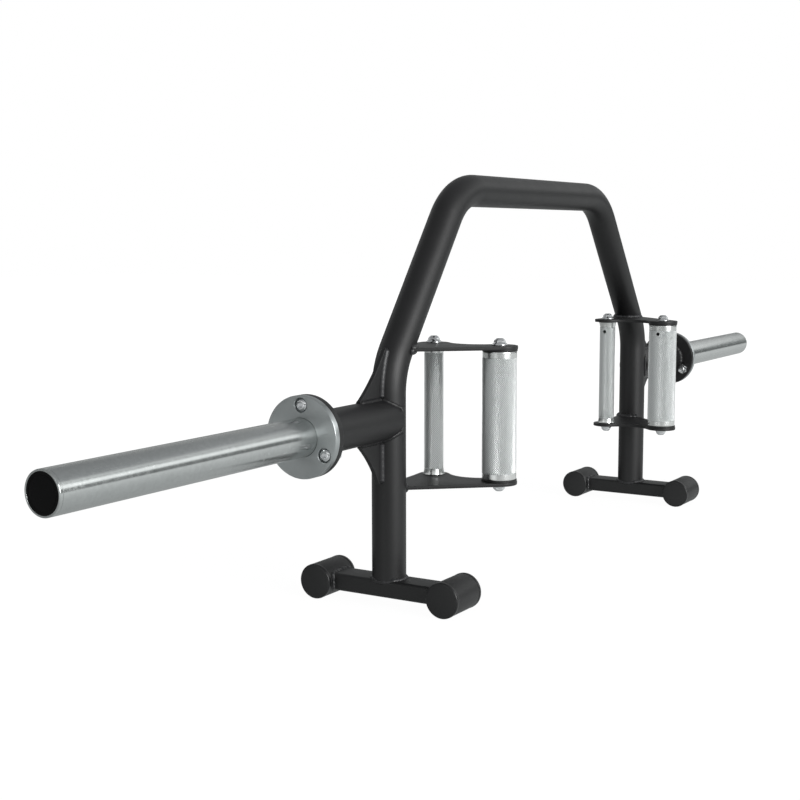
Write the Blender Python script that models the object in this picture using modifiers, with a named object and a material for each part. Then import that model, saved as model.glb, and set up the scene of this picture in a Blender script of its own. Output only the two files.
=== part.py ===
"""Open-ended trap bar: a bent tube frame on two feet, two pairs of upright grips and two bolted plate sleeves.

Metres, +Z up, +X along the bar. The feet stand on Z = 0 and the plate sleeves share one axis.
"""
from math import acos, atan2, cos, pi, radians, sin, sqrt, tan

import bmesh
import bpy
from mathutils import Vector

# Space left between faces that touch on the real bar
GAP = 0.0003

# Frame tube, bent from one length: two legs, two slanted shoulders and a level top
TUBE_RADIUS = 0.02415
TUBE_WALL = 0.004
LEG_X = 0.450
SHOULDER_Z = 0.331
TOP_CORNER_X = 0.259
TOP_Z = 0.583
BEND_RADIUS = 0.103

# Feet: a short tube in front of and behind each leg, with a cap in each end
FOOT_Y = 0.104
FOOT_LENGTH = 0.070
FOOT_RADIUS = 0.025
FOOT_WALL = 0.003
FOOT_CAP_LIP = 0.0005
FOOT_CAP_THICKNESS = 0.006
FOOT_CAP_ROUND = 0.003
FOOT_CAP_PLUG = 0.012

# Rectangular tube that joins the two feet under a leg
CROSSBAR_WIDTH = 0.044
CROSSBAR_HEIGHT = 0.025
CROSSBAR_WALL = 0.003
CROSSBAR_ROUND = 0.005

# Sleeve axis, and the stub that carries the flanges on each leg
SLEEVE_Z = 0.2635
STUB_RADIUS = 0.02885
STUB_WALL = 0.004
STUB_START = 0.0055

# Gussets above and below the stub
GUSSET_THICKNESS = 0.006
GUSSET_REACH = 0.052
GUSSET_TOE = 0.003
GUSSET_TIP = 0.006
GUSSET_HOLLOW = 0.004
GUSSET_EDGE_STEPS = 4
UPPER_GUSSET_HEIGHT = 0.070
LOWER_GUSSET_HEIGHT = 0.060

# Bolted joint between the frame and the sleeve
FLANGE_FACE_X = 0.660
FLANGE_RADIUS = 0.0535
SLEEVE_FLANGE_THICKNESS = 0.009
FRAME_FLANGE_THICKNESS = 0.009
FLANGE_EDGE = 0.001
FLANGE_BOLTS = 3
FLANGE_BOLT_CIRCLE = 0.041
FLANGE_BOLT_RADIUS = 0.005
BUTTON_HEAD_RADIUS = 0.00875
BUTTON_HEAD_HEIGHT = 0.0052
BUTTON_HEAD_CROWN_RADIUS = 0.0048
BUTTON_HEAD_SIDE_HEIGHT = 0.0018
SOCKET_DEPTH = 0.0030
SOCKET_ACROSS_FLATS = 0.006
COUNTERBORE_CLEARANCE = 0.0008
HOLE_CLEARANCE = 0.0005
NUT_ACROSS_FLATS = 0.017
NUT_HEIGHT = 0.008
BOLT_END_SHOWING = 0.004

# Plate sleeve and its end cap
SLEEVE_END_X = 1.100
SLEEVE_RADIUS = 0.025
SLEEVE_WALL = 0.0045
SLEEVE_CAP_THICKNESS = 0.004
SLEEVE_CAP_INSET = 0.0004
SLEEVE_CAP_ROUND = 0.002
SLEEVE_CAP_PLUG = 0.015

# Grips: a thin one in line with the sleeves and a thick one in front of it
GRIP_X = 0.324
THICK_GRIP_OFFSET = 0.108
GRIP_MID_Z = 0.26125
PLATE_SPACING = 0.1895
THIN_GRIP_RADIUS = 0.0145
THIN_GRIP_FLARE = 0.0015
THICK_GRIP_RADIUS = 0.025
THIN_GRIP_STEP = 0.0003
THICK_GRIP_STEP = 0.0004
GRIP_STEP_HEIGHT = 0.0005
GRIP_RING_HEIGHT = 0.0080
GRIP_WALL = 0.0035
GRIP_END_PLUG = 0.012
VENT_RADIUS = 0.0031
VENT_DROP = 0.018

# Plates that hold the grips, cut from flat stock and welded round the leg
PLATE_THICKNESS = 0.005
LOBE_MARGIN = 0.001
THIN_LOBE_RADIUS = 0.0235
WAIST_RADIUS = 0.0467
ROOT_FILLET = 0.400
EDGE_ANGLE = radians(40.5)
SEAT_HEIGHT = 0.0027

# Flanged hexagon bolts in the ends of the grips
GRIP_BOLT_RADIUS = 0.005
GRIP_BOLT_FLANGE_RADIUS = 0.0114
GRIP_BOLT_FLANGE_HEIGHT = 0.0040
GRIP_BOLT_RIM = 0.0014
GRIP_BOLT_ACROSS_FLATS = 0.015
GRIP_BOLT_TOP_RADIUS = 0.0048
GRIP_BOLT_CHAMFER = 0.0038
GRIP_BOLT_HEAD_HEIGHT = 0.0100
GRIP_BOLT_ENGAGEMENT = 0.010

# Sides of the round pieces, alike for pieces that fit into each other
TUBE_SIDES = 24
STUB_SIDES = 24
SLEEVE_SIDES = 24
FOOT_SIDES = 20
BOLT_SIDES = 12
GRIP_SIDES = 20
BEND_STEP = radians(11)
PLATE_ARC_STEP = radians(20)
CORNER_STEPS = 3
SMOOTH_BELOW = radians(35)
MERGE_DISTANCE = 0.000005

# Heights and places that follow from the sizes above
FOOT_CAP_RADIUS = FOOT_RADIUS + FOOT_CAP_LIP
FOOT_Z = FOOT_CAP_RADIUS * cos(pi / FOOT_SIDES)
LEG_FOOT_Z = FOOT_Z + CROSSBAR_HEIGHT / 2 + GAP
LOBE_RADIUS = THICK_GRIP_RADIUS + LOBE_MARGIN
JOINT_X = FLANGE_FACE_X - SLEEVE_FLANGE_THICKNESS
FRAME_FLANGE_X = JOINT_X - GAP - FRAME_FLANGE_THICKNESS
UPPER_PLATE_Z = GRIP_MID_Z + PLATE_SPACING / 2
LOWER_PLATE_Z = GRIP_MID_Z - PLATE_SPACING / 2
SIDES = {"left": -1, "right": 1}


def new_collection(name):
    """A collection linked to the scene."""
    collection = bpy.data.collections.new(name)
    bpy.context.scene.collection.children.link(collection)
    return collection


def material(name, colour, roughness, metallic):
    """A plain finish for one kind of piece."""
    made = bpy.data.materials.new(name)
    made.use_nodes = True
    shader = made.node_tree.nodes["Principled BSDF"]
    shader.inputs["Base Color"].default_value = (*colour, 1)
    shader.inputs["Roughness"].default_value = roughness
    shader.inputs["Metallic"].default_value = metallic
    return made


def add_piece(name, mesh, finish, location=(0, 0, 0), rotation=(0, 0, 0)):
    """One piece of the bar, placed in the frame of the whole."""
    piece = bpy.data.objects.new(name, mesh)
    PIECES.objects.link(piece)
    piece.parent = BAR
    piece.location = location
    piece.rotation_euler = rotation
    mesh.materials.clear()
    mesh.materials.append(finish)
    return piece


def add_cutter(name, mesh, location=(0, 0, 0), rotation=(0, 0, 0)):
    """A shape that is only cut away from, or joined to, a piece."""
    cutter = bpy.data.objects.new(name, mesh)
    CUTTERS.objects.link(cutter)
    cutter.parent = BAR
    cutter.location = location
    cutter.rotation_euler = rotation
    cutter.hide_render = True
    cutter.display_type = "WIRE"
    return cutter


def combine(piece, tool, operation="DIFFERENCE"):
    """Cut the tool away from the piece, or join it on."""
    boolean = piece.modifiers.new(tool.name, "BOOLEAN")
    boolean.operation = operation
    boolean.solver = "EXACT"
    boolean.object = tool


def welded_mesh(source):
    """The evaluated shape of a curve or a profile as one closed mesh, smooth up to its sharp edges."""
    bpy.context.scene.collection.objects.link(source)
    bpy.context.view_layer.update()
    mesh = bpy.data.meshes.new_from_object(source.evaluated_get(bpy.context.evaluated_depsgraph_get()))
    bpy.data.objects.remove(source)
    work = bmesh.new()
    work.from_mesh(mesh)
    bmesh.ops.remove_doubles(work, verts=work.verts, dist=MERGE_DISTANCE)
    bmesh.ops.recalc_face_normals(work, faces=work.faces)
    work.to_mesh(mesh)
    work.free()
    mesh.shade_smooth()
    mesh.set_sharp_from_angle(angle=SMOOTH_BELOW)
    return mesh


def turned(name, profile, sides):
    """A solid turned round Z from (radius, height) points that run down its outer side."""
    half_facet = pi / sides
    closed = min(radius for radius, _ in profile) > 0
    outline = bmesh.new()
    points = [outline.verts.new((r * cos(half_facet), r * sin(half_facet), z)) for r, z in profile]
    for start, end in zip(points, points[1:]):
        outline.edges.new((start, end))
    if closed:
        outline.edges.new((points[-1], points[0]))
    mesh = bpy.data.meshes.new(name)
    outline.to_mesh(mesh)
    outline.free()
    source = bpy.data.objects.new(name, mesh)
    screw = source.modifiers.new("turn", "SCREW")
    screw.steps = screw.render_steps = sides
    screw.use_merge_vertices = True
    screw.merge_threshold = MERGE_DISTANCE
    return welded_mesh(source)


def ring_profile(outer, inner, length, edge=0.0):
    """A tube or a disc with a bore, standing on Z = 0, its outer corners taken off by edge."""
    if edge:
        rim = [(outer - edge, length), (outer, length - edge), (outer, edge), (outer - edge, 0)]
    else:
        rim = [(outer, length), (outer, 0)]
    return rim + [(inner, 0), (inner, length)]


def rounded_rim(radius, height, rounding):
    """Profile points down the rim of a cap whose outer edge is rounded."""
    cut = rounding * (1 - sqrt(0.5))
    return [(radius - rounding, height), (radius - cut, height - cut), (radius, height - rounding), (radius, 0)]


def round_bar(name, radius, length, sides):
    """A plain round bar standing on Z = 0."""
    return turned(name, [(0, length), (radius, length), (radius, 0), (0, 0)], sides)


def arc(centre, radius, start, end):
    """Points along an arc in a plane, from one angle to another, both ends included."""
    steps = max(2, round(abs(end - start) / PLATE_ARC_STEP))
    angles = [start + (end - start) * step / steps for step in range(steps + 1)]
    return [Vector((centre.x + radius * cos(a), centre.y + radius * sin(a))) for a in angles]


def flat_plate(name, outline, thickness):
    """A plate of the given outline, with its middle plane on Z = 0."""
    curve = bpy.data.curves.new(name, "CURVE")
    curve.dimensions = "2D"
    curve.fill_mode = "BOTH"
    curve.extrude = thickness / 2
    spline = curve.splines.new("POLY")
    spline.points.add(len(outline) - 1)
    for point, place in zip(spline.points, outline):
        point.co = (place.x, place.y, 0, 1)
    spline.use_cyclic_u = True
    return welded_mesh(bpy.data.objects.new(name, curve))


def tube_along(name, path, radius):
    """A solid round bar along a path."""
    curve = bpy.data.curves.new(name, "CURVE")
    curve.dimensions = "3D"
    curve.bevel_depth = radius
    curve.bevel_resolution = (TUBE_SIDES - 4) // 2
    curve.use_fill_caps = True
    spline = curve.splines.new("POLY")
    spline.points.add(len(path) - 1)
    for point, place in zip(spline.points, path):
        point.co = (*place, 1)
    return welded_mesh(bpy.data.objects.new(name, curve))


def rounded_path(corners, radius):
    """A path through straight runs whose corners are arcs of one bend radius."""
    path = [corners[0]]
    for before, corner, after in zip(corners, corners[1:], corners[2:]):
        arriving = (corner - before).normalized()
        leaving = (after - corner).normalized()
        turn = acos(arriving.dot(leaving))
        inward = (leaving - arriving * arriving.dot(leaving)).normalized()
        start = corner - arriving * radius * tan(turn / 2)
        centre = start + inward * radius
        steps = max(2, round(turn / BEND_STEP))
        for step in range(steps + 1):
            angle = turn * step / steps
            path.append(centre + (arriving * sin(angle) - inward * cos(angle)) * radius)
    return path + [corners[-1]]


def frame_path(leg_extension=0.0):
    """Centreline of the frame tube, from the left foot over the top to the right foot."""
    bottom = LEG_FOOT_Z - leg_extension
    half = [(LEG_X, bottom), (LEG_X, SHOULDER_Z), (TOP_CORNER_X, TOP_Z)]
    left = [Vector((-x, 0, z)) for x, z in half]
    right = [Vector((x, 0, z)) for x, z in reversed(half)]
    return rounded_path(left + right, BEND_RADIUS)


def leg_at(height):
    """Distance of the leg's centreline from the middle at a height, and its half width along X there."""
    for low, high in zip(frame_path(), frame_path()[1:]):
        if low.z <= height <= high.z:
            run, rise = high.x - low.x, high.z - low.z
            centre = low.x + run * (height - low.z) / rise
            return -centre, TUBE_RADIUS * sqrt(run * run + rise * rise) / rise


def across(side):
    """Rotation that lays a piece turned round Z along X, pointing away from the middle."""
    return (0, side * pi / 2, 0)


def add_frame_tube():
    """The bent tube, hollow from end to end."""
    tube = add_piece("frame_tube", tube_along("frame_tube", frame_path(), TUBE_RADIUS), BLACK_COAT)
    bore = tube_along("frame_tube_bore", frame_path(leg_extension=FOOT_RADIUS), TUBE_RADIUS - TUBE_WALL)
    combine(tube, add_cutter("frame_tube_bore", bore))


def add_foot(side_name, side):
    """Two short foot tubes with caps, and the crossbar between them, notched round both."""
    tube = turned("foot_tube", ring_profile(
        FOOT_RADIUS, FOOT_RADIUS - FOOT_WALL, FOOT_LENGTH - 2 * (FOOT_CAP_THICKNESS + GAP)), FOOT_SIDES)
    plug_radius = FOOT_RADIUS - FOOT_WALL - GAP
    cap = turned("foot_cap", [
        (0, FOOT_CAP_THICKNESS),
        *rounded_rim(FOOT_CAP_RADIUS, FOOT_CAP_THICKNESS, FOOT_CAP_ROUND),
        (plug_radius, 0), (plug_radius, -FOOT_CAP_PLUG), (0, -FOOT_CAP_PLUG),
    ], FOOT_SIDES)
    notch = round_bar("foot_notch", FOOT_RADIUS + GAP, FOOT_LENGTH, FOOT_SIDES)
    crossbar = add_crossbar(side_name, side)
    centre_x = side * LEG_X
    half_tube = FOOT_LENGTH / 2 - FOOT_CAP_THICKNESS - GAP
    for end_name, end in (("front", -1), ("rear", 1)):
        y = end * FOOT_Y
        label = f"{side_name}_{end_name}"
        add_piece(f"foot_tube_{label}", tube, BLACK_COAT, (centre_x - half_tube, y, FOOT_Z), across(1))
        for face_name, face in (("outer", side), ("inner", -side)):
            cap_x = centre_x + face * (half_tube + GAP)
            add_piece(f"foot_cap_{label}_{face_name}", cap, BLACK_PLASTIC, (cap_x, y, FOOT_Z), across(face))
        cut = add_cutter(f"foot_notch_{label}", notch, (centre_x - FOOT_LENGTH / 2, y, FOOT_Z), across(1))
        combine(crossbar, cut)


def rounded_box_outline(width, height, corner):
    """Outline of a rectangle with round corners."""
    outline = []
    for quarter, (x, y) in enumerate(((1, 1), (-1, 1), (-1, -1), (1, -1))):
        centre = Vector((x * (width / 2 - corner), y * (height / 2 - corner)))
        for step in range(CORNER_STEPS + 1):
            angle = pi / 2 * (quarter + step / CORNER_STEPS)
            outline.append(centre + corner * Vector((cos(angle), sin(angle))))
    return outline


def add_crossbar(side_name, side):
    """Rectangular tube along Y, open at its ends."""
    lying = (pi / 2, 0, 0)
    place = (side * LEG_X, 0, FOOT_Z)
    outside = rounded_box_outline(CROSSBAR_WIDTH, CROSSBAR_HEIGHT, CROSSBAR_ROUND)
    inside = rounded_box_outline(CROSSBAR_WIDTH - 2 * CROSSBAR_WALL, CROSSBAR_HEIGHT - 2 * CROSSBAR_WALL,
                                 max(CROSSBAR_ROUND - CROSSBAR_WALL, GAP))
    name = f"foot_crossbar_{side_name}"
    crossbar = add_piece(name, flat_plate(name, outside, 2 * FOOT_Y), BLACK_COAT, place, lying)
    bore = flat_plate(f"{name}_bore", inside, 2 * (FOOT_Y + FOOT_RADIUS))
    combine(crossbar, add_cutter(f"{name}_bore", bore, place, lying))
    return crossbar


def add_stub(side_name, side, leg_cutter):
    """Tube from the leg out to the flanges, its end cut to wrap round the leg."""
    start_x = LEG_X + STUB_START
    profile = ring_profile(STUB_RADIUS, STUB_RADIUS - STUB_WALL, JOINT_X - GAP - start_x)
    place = (side * start_x, 0, SLEEVE_Z)
    name = f"stub_tube_{side_name}"
    stub = add_piece(name, turned(name, profile, STUB_SIDES), BLACK_COAT, place, across(side))
    combine(stub, leg_cutter)


def gusset_outline(side, vertical, height):
    """Side view of a gusset above or below the stub, running inside the leg and the stub where they cut it."""
    tip_z = SLEEVE_Z + vertical * (STUB_RADIUS + height)
    centre, half_width = leg_at(tip_z)
    toe = Vector((LEG_X + TUBE_RADIUS + GUSSET_REACH, SLEEVE_Z + vertical * (STUB_RADIUS + GUSSET_TOE)))
    tip = Vector((centre + half_width + GUSSET_TIP, tip_z))
    chord = tip - toe
    inward = Vector((-chord.y, chord.x)).normalized() * vertical
    edge = []
    for step in range(GUSSET_EDGE_STEPS + 1):
        share = step / GUSSET_EDGE_STEPS
        edge.append(toe + chord * share + inward * GUSSET_HOLLOW * 4 * share * (1 - share))
    outline = [Vector((LEG_X, SLEEVE_Z)), Vector((toe.x, SLEEVE_Z))] + edge + [Vector((centre, tip_z))]
    return [Vector((side * point.x, point.y)) for point in outline]


def add_gussets(side_name, side, leg_cutter):
    """Flat webs that brace the stub against the leg."""
    stub_name = f"stub_round_{side_name}"
    stub_reach = LEG_X + TUBE_RADIUS + 2 * GUSSET_REACH
    stub_round = add_cutter(stub_name, round_bar(stub_name, STUB_RADIUS + GAP, stub_reach, STUB_SIDES),
                            (0, 0, SLEEVE_Z), across(side))
    for level, vertical, height in (("upper", 1, UPPER_GUSSET_HEIGHT), ("lower", -1, LOWER_GUSSET_HEIGHT)):
        name = f"gusset_{side_name}_{level}"
        web = flat_plate(name, gusset_outline(side, vertical, height), GUSSET_THICKNESS)
        gusset = add_piece(name, web, BLACK_COAT, rotation=(pi / 2, 0, 0))
        combine(gusset, leg_cutter)
        combine(gusset, stub_round)


def flange_bolt_places():
    """Places of the flange bolts round the sleeve axis, the first at the top."""
    angles = [pi / 2 + 2 * pi * number / FLANGE_BOLTS for number in range(FLANGE_BOLTS)]
    return [(FLANGE_BOLT_CIRCLE * cos(angle), SLEEVE_Z + FLANGE_BOLT_CIRCLE * sin(angle)) for angle in angles]


def hexagon(name, across_flats, height):
    """A hexagonal bar standing on Z = 0, with a corner towards +Y."""
    shape = bmesh.new()
    bmesh.ops.create_cone(shape, cap_ends=True, segments=6, radius1=across_flats / sqrt(3),
                          radius2=across_flats / sqrt(3), depth=height)
    bmesh.ops.translate(shape, verts=shape.verts, vec=(0, 0, height / 2))
    mesh = bpy.data.meshes.new(name)
    shape.to_mesh(mesh)
    shape.free()
    return mesh


def add_flanges(side_name, side):
    """Frame flange, sleeve flange, and the bolts and nuts that clamp them together."""
    laid = across(side)
    frame_name, sleeve_name = f"frame_flange_{side_name}", f"sleeve_flange_{side_name}"
    frame_disc = turned(frame_name, ring_profile(
        FLANGE_RADIUS, STUB_RADIUS + GAP, FRAME_FLANGE_THICKNESS, FLANGE_EDGE), STUB_SIDES)
    sleeve_disc = turned(sleeve_name, ring_profile(
        FLANGE_RADIUS, SLEEVE_RADIUS + GAP, SLEEVE_FLANGE_THICKNESS, FLANGE_EDGE), SLEEVE_SIDES)
    frame_flange = add_piece(frame_name, frame_disc, BLACK_COAT, (side * FRAME_FLANGE_X, 0, SLEEVE_Z), laid)
    sleeve_flange = add_piece(sleeve_name, sleeve_disc, BRUSHED_STEEL, (side * JOINT_X, 0, SLEEVE_Z), laid)

    head_base = FLANGE_FACE_X - BUTTON_HEAD_HEIGHT
    hole = round_bar("flange_hole", FLANGE_BOLT_RADIUS + HOLE_CLEARANCE,
                     FRAME_FLANGE_THICKNESS + SLEEVE_FLANGE_THICKNESS + NUT_HEIGHT, BOLT_SIDES)
    counterbore = round_bar("counterbore", BUTTON_HEAD_RADIUS + COUNTERBORE_CLEARANCE,
                            2 * BUTTON_HEAD_HEIGHT, BOLT_SIDES)
    nut_base = FRAME_FLANGE_X - GAP - NUT_HEIGHT
    shank_end = nut_base - BOLT_END_SHOWING
    bolt = turned("button_head_bolt", [
        (0, BUTTON_HEAD_HEIGHT),
        (BUTTON_HEAD_CROWN_RADIUS, BUTTON_HEAD_HEIGHT),
        (BUTTON_HEAD_RADIUS, BUTTON_HEAD_SIDE_HEIGHT),
        (BUTTON_HEAD_RADIUS, GAP), (FLANGE_BOLT_RADIUS, GAP),
        (FLANGE_BOLT_RADIUS, shank_end - head_base), (0, shank_end - head_base),
    ], BOLT_SIDES)
    socket = hexagon("hex_socket", SOCKET_ACROSS_FLATS, 2 * SOCKET_DEPTH)
    nut = hexagon("flange_nut", NUT_ACROSS_FLATS, NUT_HEIGHT)
    thread = round_bar("nut_thread", FLANGE_BOLT_RADIUS + GAP, 3 * NUT_HEIGHT, BOLT_SIDES)

    for number, (y, z) in enumerate(flange_bolt_places(), start=1):
        label = f"{side_name}_{number}"
        through = add_cutter(f"flange_hole_{label}", hole,
                             (side * (FRAME_FLANGE_X - NUT_HEIGHT / 2), y, z), laid)
        combine(frame_flange, through)
        combine(sleeve_flange, through)
        combine(sleeve_flange, add_cutter(f"counterbore_{label}", counterbore, (side * head_base, y, z), laid))
        screw = add_piece(f"flange_bolt_{label}", bolt, ZINC, (side * head_base, y, z), laid)
        combine(screw, add_cutter(f"hex_socket_{label}", socket,
                                  (side * (FLANGE_FACE_X - SOCKET_DEPTH), y, z), laid))
        clamp = add_piece(f"flange_nut_{label}", nut, ZINC, (side * nut_base, y, z), laid)
        combine(clamp, add_cutter(f"nut_thread_{label}", thread, (side * (nut_base - NUT_HEIGHT), y, z), laid))


def add_sleeve(side_name, side):
    """The plate sleeve, standing through its flange, and the cap in its outer end."""
    laid = across(side)
    bore_radius = SLEEVE_RADIUS - SLEEVE_WALL
    cap_base = SLEEVE_END_X - SLEEVE_CAP_THICKNESS
    name = f"sleeve_{side_name}"
    profile = ring_profile(SLEEVE_RADIUS, bore_radius, cap_base - GAP - JOINT_X)
    add_piece(name, turned(name, profile, SLEEVE_SIDES), BRUSHED_STEEL, (side * JOINT_X, 0, SLEEVE_Z), laid)
    cap_radius = SLEEVE_RADIUS - SLEEVE_CAP_INSET
    cap = turned(f"sleeve_cap_{side_name}", [
        (0, SLEEVE_CAP_THICKNESS),
        *rounded_rim(cap_radius, SLEEVE_CAP_THICKNESS, SLEEVE_CAP_ROUND),
        (bore_radius - GAP, 0), (bore_radius - GAP, -SLEEVE_CAP_PLUG), (0, -SLEEVE_CAP_PLUG),
    ], SLEEVE_SIDES)
    add_piece(f"sleeve_cap_{side_name}", cap, BLACK_PLASTIC, (side * cap_base, 0, SLEEVE_Z), laid)


def grip_plate_outline(side, height):
    """Plan of a grip plate: a lobe under each grip, a hollow waist between them and a root round the leg."""
    thin, thick = Vector((GRIP_X, 0)), Vector((GRIP_X, -THICK_GRIP_OFFSET))
    root_x, _ = leg_at(height)
    to_thin, to_thick = WAIST_RADIUS + THIN_LOBE_RADIUS, WAIST_RADIUS + LOBE_RADIUS
    forward = (THICK_GRIP_OFFSET ** 2 + to_thin ** 2 - to_thick ** 2) / (2 * THICK_GRIP_OFFSET)
    waist = thin - Vector((sqrt(to_thin ** 2 - forward ** 2), forward))

    span = root_x - thin.x
    to_thin, to_leg = ROOT_FILLET + THIN_LOBE_RADIUS, ROOT_FILLET + TUBE_RADIUS
    along = (span ** 2 + to_thin ** 2 - to_leg ** 2) / (2 * span)
    fillet = thin + Vector((along, sqrt(to_thin ** 2 - along ** 2)))

    waist_from_thick = atan2(waist.y - thick.y, waist.x - thick.x)
    waist_from_thin = atan2(waist.y - thin.y, waist.x - thin.x)
    fillet_from_thin = atan2(fillet.y - thin.y, fillet.x - thin.x)
    fillet_from_leg = atan2(fillet.y, fillet.x - root_x)
    edge_start = thick + LOBE_RADIUS * Vector((cos(EDGE_ANGLE), -sin(EDGE_ANGLE)))
    edge_end_y = edge_start.y + (root_x - edge_start.x) / tan(EDGE_ANGLE)

    outline = [Vector((root_x, 0)), Vector((root_x, edge_end_y))]
    outline += arc(thick, LOBE_RADIUS, -EDGE_ANGLE, waist_from_thick - 2 * pi)
    outline += arc(waist, WAIST_RADIUS, waist_from_thick - pi, waist_from_thin + pi)[1:-1]
    outline += arc(thin, THIN_LOBE_RADIUS, waist_from_thin, fillet_from_thin - 2 * pi)
    outline += arc(fillet, ROOT_FILLET, fillet_from_thin - pi, fillet_from_leg - pi)[1:]
    return [Vector((side * point.x, point.y)) for point in outline]


def add_grip_plates(side_name, side, leg_cutter):
    """The two plates of one side, each with a raised seat for the thick grip."""
    hole = round_bar("grip_bolt_hole", GRIP_BOLT_RADIUS + HOLE_CLEARANCE,
                     4 * (PLATE_THICKNESS + SEAT_HEIGHT), BOLT_SIDES)
    seat = round_bar("grip_seat", LOBE_RADIUS - LOBE_MARGIN / 2, SEAT_HEIGHT + PLATE_THICKNESS / 2, GRIP_SIDES)
    for level, vertical, face_z in (("upper", 1, UPPER_PLATE_Z), ("lower", -1, LOWER_PLATE_Z)):
        middle_z = face_z + vertical * PLATE_THICKNESS / 2
        name = f"grip_plate_{side_name}_{level}"
        blank = flat_plate(name, grip_plate_outline(side, middle_z), PLATE_THICKNESS)
        plate = add_piece(name, blank, BLACK_COAT, (0, 0, middle_z))
        seat_z = min(middle_z, face_z - vertical * SEAT_HEIGHT)
        seat_place = (side * GRIP_X, -THICK_GRIP_OFFSET, seat_z)
        combine(plate, add_cutter(f"grip_seat_{side_name}_{level}", seat, seat_place), "UNION")
        combine(plate, leg_cutter)
        for grip_name, y in (("thin", 0), ("thick", -THICK_GRIP_OFFSET)):
            hole_z = middle_z - 2 * (PLATE_THICKNESS + SEAT_HEIGHT)
            drill = add_cutter(f"bolt_hole_{side_name}_{level}_{grip_name}", hole, (side * GRIP_X, y, hole_z))
            combine(plate, drill)


def grip_profile(radius, ring_radius, end_radius, length):
    """Half section of a hollow grip with plain end rings and a plug with a threaded hole in each end."""
    thread, bore = GRIP_BOLT_RADIUS + GAP, radius - GRIP_WALL
    knurl_start = GRIP_RING_HEIGHT + GRIP_STEP_HEIGHT
    return [
        (end_radius, length), (ring_radius, length - GRIP_RING_HEIGHT), (radius, length - knurl_start),
        (radius, knurl_start), (ring_radius, GRIP_RING_HEIGHT), (end_radius, 0),
        (thread, 0), (thread, GRIP_END_PLUG), (bore, GRIP_END_PLUG),
        (bore, length - GRIP_END_PLUG), (thread, length - GRIP_END_PLUG), (thread, length),
    ]


def add_grips(side_name, side):
    """The thin and the thick grip of one side, each with a vent hole that faces the middle."""
    thin_radii = (THIN_GRIP_RADIUS, THIN_GRIP_RADIUS - THIN_GRIP_STEP, THIN_GRIP_RADIUS + THIN_GRIP_FLARE)
    thick_plain = THICK_GRIP_RADIUS - THICK_GRIP_STEP
    grips = (("thin", 0, thin_radii, 0), ("thick", -THICK_GRIP_OFFSET,
             (THICK_GRIP_RADIUS, thick_plain, thick_plain), SEAT_HEIGHT))
    for grip_name, y, (radius, ring_radius, end_radius), seat_height in grips:
        name = f"{grip_name}_grip_{side_name}"
        bottom = LOWER_PLATE_Z + seat_height + GAP
        profile = grip_profile(radius, ring_radius, end_radius, PLATE_SPACING - 2 * (seat_height + GAP))
        grip = add_piece(name, turned(name, profile, GRIP_SIDES), CHROME, (side * GRIP_X, y, bottom))
        vent = round_bar(f"{name}_vent", VENT_RADIUS, 2 * radius, BOLT_SIDES)
        vent_place = (side * GRIP_X, y, UPPER_PLATE_Z - VENT_DROP)
        combine(grip, add_cutter(f"{name}_vent", vent, vent_place, across(-side)))
        add_grip_bolts(side_name, grip_name, (side * GRIP_X, y), seat_height)


def add_grip_bolts(side_name, grip_name, place, seat_height):
    """A flanged hexagon bolt through each plate into the end of a grip."""
    shank = PLATE_THICKNESS + seat_height + GRIP_BOLT_ENGAGEMENT
    hex_corner = GRIP_BOLT_ACROSS_FLATS / sqrt(3)
    name = f"{grip_name}_grip_bolt"
    body = turned(name, [
        (0, GRIP_BOLT_FLANGE_HEIGHT), (hex_corner, GRIP_BOLT_FLANGE_HEIGHT),
        (GRIP_BOLT_FLANGE_RADIUS, GRIP_BOLT_RIM), (GRIP_BOLT_FLANGE_RADIUS, 0),
        (GRIP_BOLT_RADIUS, 0), (GRIP_BOLT_RADIUS, -shank), (0, -shank),
    ], BOLT_SIDES)
    head_top = GRIP_BOLT_HEAD_HEIGHT - GRIP_BOLT_RIM
    head = turned(f"{name}_hexagon", [
        (0, head_top), (GRIP_BOLT_TOP_RADIUS, head_top), (hex_corner, head_top - GRIP_BOLT_CHAMFER),
        (hex_corner, 0), (0, 0),
    ], 6)
    levels = (("upper", UPPER_PLATE_Z + PLATE_THICKNESS + GAP, 1),
              ("lower", LOWER_PLATE_Z - PLATE_THICKNESS - GAP, -1))
    for level, seat_z, vertical in levels:
        turn = (0 if vertical > 0 else pi, 0, 0)
        bolt = add_piece(f"{name}_{side_name}_{level}", body, ZINC, (*place, seat_z), turn)
        head_z = seat_z + vertical * GRIP_BOLT_RIM
        combine(bolt, add_cutter(f"{name}_hexagon_{side_name}_{level}", head, (*place, head_z), turn), "UNION")


for leftover in list(bpy.data.objects):
    bpy.data.objects.remove(leftover)

PIECES = new_collection("open_ended_trap_bar")
CUTTERS = new_collection("cutters")

BLACK_COAT = material("black_powder_coat", (0.035, 0.036, 0.038), 0.45, 0.0)
BLACK_PLASTIC = material("black_plastic", (0.022, 0.022, 0.024), 0.5, 0.0)
BRUSHED_STEEL = material("brushed_steel", (0.42, 0.44, 0.44), 0.32, 1.0)
CHROME = material("satin_chrome", (0.62, 0.65, 0.63), 0.28, 1.0)
ZINC = material("bright_zinc", (0.70, 0.71, 0.72), 0.22, 1.0)

# The whole stands on an empty that puts the origin under the middle of the bar's box
BAR = bpy.data.objects.new("bar_frame", None)
PIECES.objects.link(BAR)
BACK_REACH = FOOT_Y + FOOT_CAP_RADIUS
FRONT_REACH = max(BACK_REACH, THICK_GRIP_OFFSET + LOBE_RADIUS)
BAR.location = (0, (FRONT_REACH - BACK_REACH) / 2, 0)

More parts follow.
